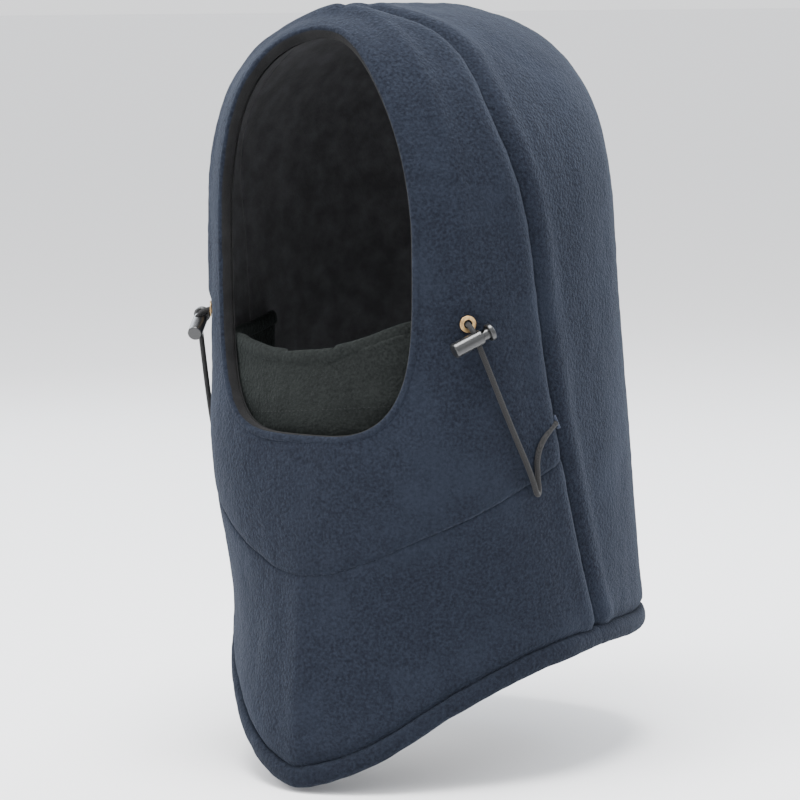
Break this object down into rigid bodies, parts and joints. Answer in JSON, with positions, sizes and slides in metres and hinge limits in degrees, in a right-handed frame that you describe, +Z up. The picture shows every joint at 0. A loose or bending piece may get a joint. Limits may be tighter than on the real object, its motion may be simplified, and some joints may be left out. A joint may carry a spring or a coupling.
{
  "type": "balaclava",
  "caption": "Thick fleece balaclava with a pointed bib, rolled hem, sliding inner face mask and side drawcords with sprung cord locks.",
  "frame": {"origin": "crown of the head, on the inside of the lining, where the head seats", "axes": "+Z up, -Y the way the wearer looks, +X the wearer's left"},
  "size_m": [0.2118, 0.24, 0.3931],
  "materials": {
    "fleece": "thick navy polar fleece with a fine pilled nap",
    "hem_fleece": "rolled navy fleece binding, slightly darker",
    "lining": "black brushed lining",
    "mask_fabric": "dark grey-green stretch fleece",
    "elastic": "woven elastic tape",
    "cord": "dark grey braided elastic cord",
    "thread": "close navy bar-tack stitching",
    "lock_plastic": "dark grey moulded plastic with a soft shine",
    "eyelet_metal": "antique brass, lightly worn",
    "spring_steel": "bright spring wire"
  },
  "bodies": {
    "hood": {"front_hood_panel": "fleece", "bib_panel": "fleece", "back_panel_left": "fleece", "back_panel_right": "fleece", "front_hem_band": "hem_fleece", "back_hem_band_left": "hem_fleece", "back_hem_band_right": "hem_fleece", "drawcord_in_channel": "cord", "face_opening_facing": "lining", "front_lining": "lining", "bib_lining": "lining", "back_lining_left": "lining", "back_lining_right": "lining", "eyelet_left": "eyelet_metal", "eyelet_right": "eyelet_metal", "eyelet_washer_left": "eyelet_metal", "eyelet_washer_right": "eyelet_metal", "drawcord_left": "cord", "drawcord_right": "cord", "cord_tack_left": "thread", "cord_tack_right": "thread"},
    "mask": {"mask_outer_layer": "mask_fabric", "mask_inner_layer": "mask_fabric", "mask_hem": "mask_fabric", "mask_edge_elastic": "elastic", "mask_edge_binding": "mask_fabric"},
    "cord_lock_left": {"cord_lock_body_left": "lock_plastic", "cord_lock_spring_left": "spring_steel"},
    "cord_lock_right": {"cord_lock_body_right": "lock_plastic", "cord_lock_spring_right": "spring_steel"},
    "plunger_left": {"cord_lock_plunger_left": "lock_plastic"},
    "plunger_right": {"cord_lock_plunger_right": "lock_plastic"}
  },
  "joints": [
    {"name": "mask_pull", "type": "slide", "parent": "hood", "child": "mask", "axis": [0, 0, -1], "range_m": [-0.015, 0.04]},
    {"name": "cord_lock_left_slide", "type": "slide", "parent": "hood", "child": "cord_lock_left", "axis": [0.1754, 0.3399, -0.924], "range_m": [0, 0.028]},
    {"name": "cord_lock_right_slide", "type": "slide", "parent": "hood", "child": "cord_lock_right", "axis": [-0.1754, 0.3399, -0.924], "range_m": [0, 0.028]},
    {"name": "plunger_left_press", "type": "slide", "parent": "cord_lock_left", "child": "plunger_left", "axis": [-0.4333, -0.8161, -0.3825], "range_m": [0, 0.0035], "stiffness_N_per_m": 1500, "deforming": ["cord_lock_spring_left"]},
    {"name": "plunger_right_press", "type": "slide", "parent": "cord_lock_right", "child": "plunger_right", "axis": [0.4333, -0.8161, -0.3825], "range_m": [0, 0.0035], "stiffness_N_per_m": 1500, "deforming": ["cord_lock_spring_right"]}
  ]
}
